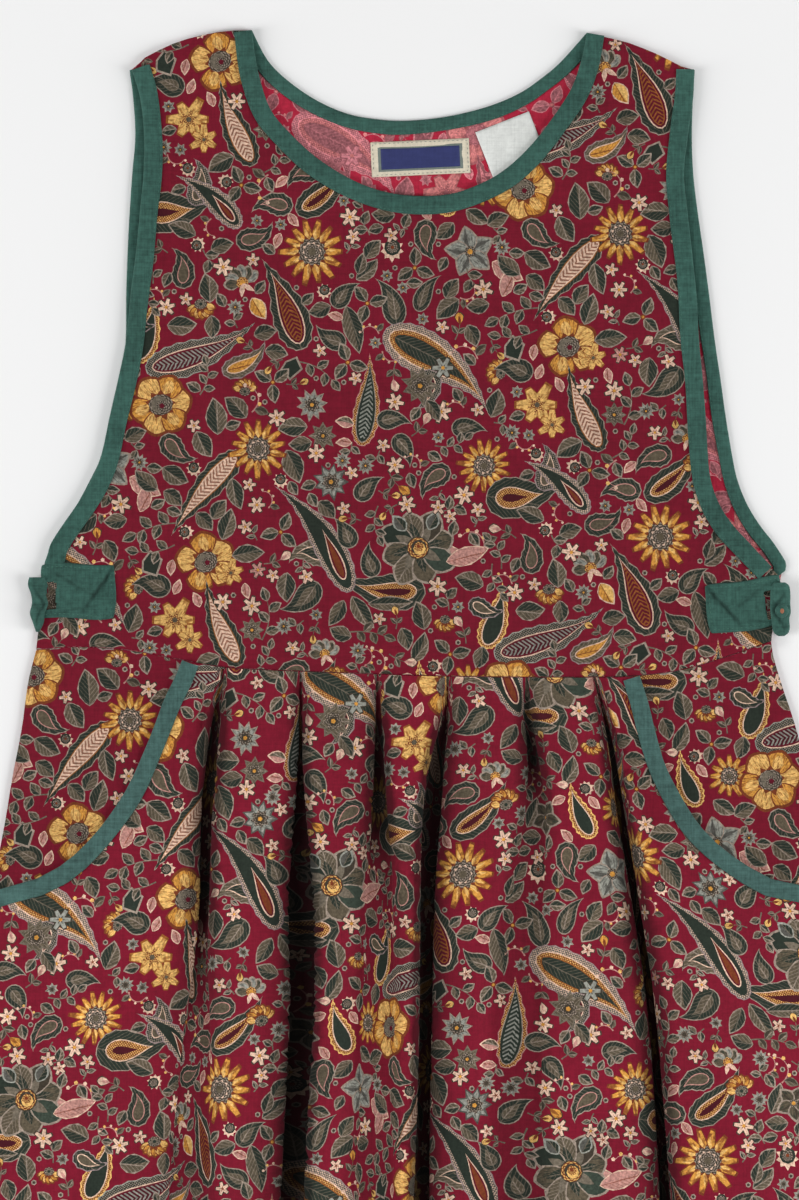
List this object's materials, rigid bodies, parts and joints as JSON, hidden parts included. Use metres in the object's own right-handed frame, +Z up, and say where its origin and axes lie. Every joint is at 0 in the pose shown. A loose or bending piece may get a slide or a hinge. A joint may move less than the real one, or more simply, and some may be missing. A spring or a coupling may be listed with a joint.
{
  "type": "tank dress laid flat",
  "caption": "Sleeveless printed dress with wide straps, scooped neck, pleated skirt, bound pocket mouths and buttoned side tabs, lying flat on its back",
  "frame": {"origin": "centre of the bounding box's underside, on the surface that the dress lies on", "axes": "+Y from the hem to the neck, +X to the right as seen from above, +Z up from the surface"},
  "size_m": [0.833, 1.2495, 0.0197],
  "materials": {
    "printed_cloth": "matt light cotton or viscose, burgundy with a paisley and flower print",
    "green_cloth": "matt plain weave, dark green",
    "blue_green_cloth": "matt plain weave, blue-green",
    "woven_label": "satin woven ribbon, cream with a navy panel, bare of words",
    "white_label": "satin white tape, bare of words"
  },
  "bodies": {
    "root": {"back_bodice": "printed_cloth", "front_bodice": "printed_cloth", "back_skirt": "printed_cloth", "front_skirt": "printed_cloth", "side_front_left": "printed_cloth", "side_front_right": "printed_cloth", "front_neck_binding": "green_cloth", "back_neck_binding": "green_cloth", "front_arm_binding_left": "green_cloth", "front_arm_binding_right": "green_cloth", "back_arm_binding_left": "green_cloth", "back_arm_binding_right": "green_cloth", "pocket_binding_left": "blue_green_cloth", "pocket_binding_right": "blue_green_cloth", "side_tab_left": "green_cloth", "side_tab_right": "green_cloth", "tab_end_left": "green_cloth", "tab_end_right": "green_cloth", "button_right": "green_cloth", "neck_label": "woven_label", "care_label": "white_label"}
  },
  "joints": []
}
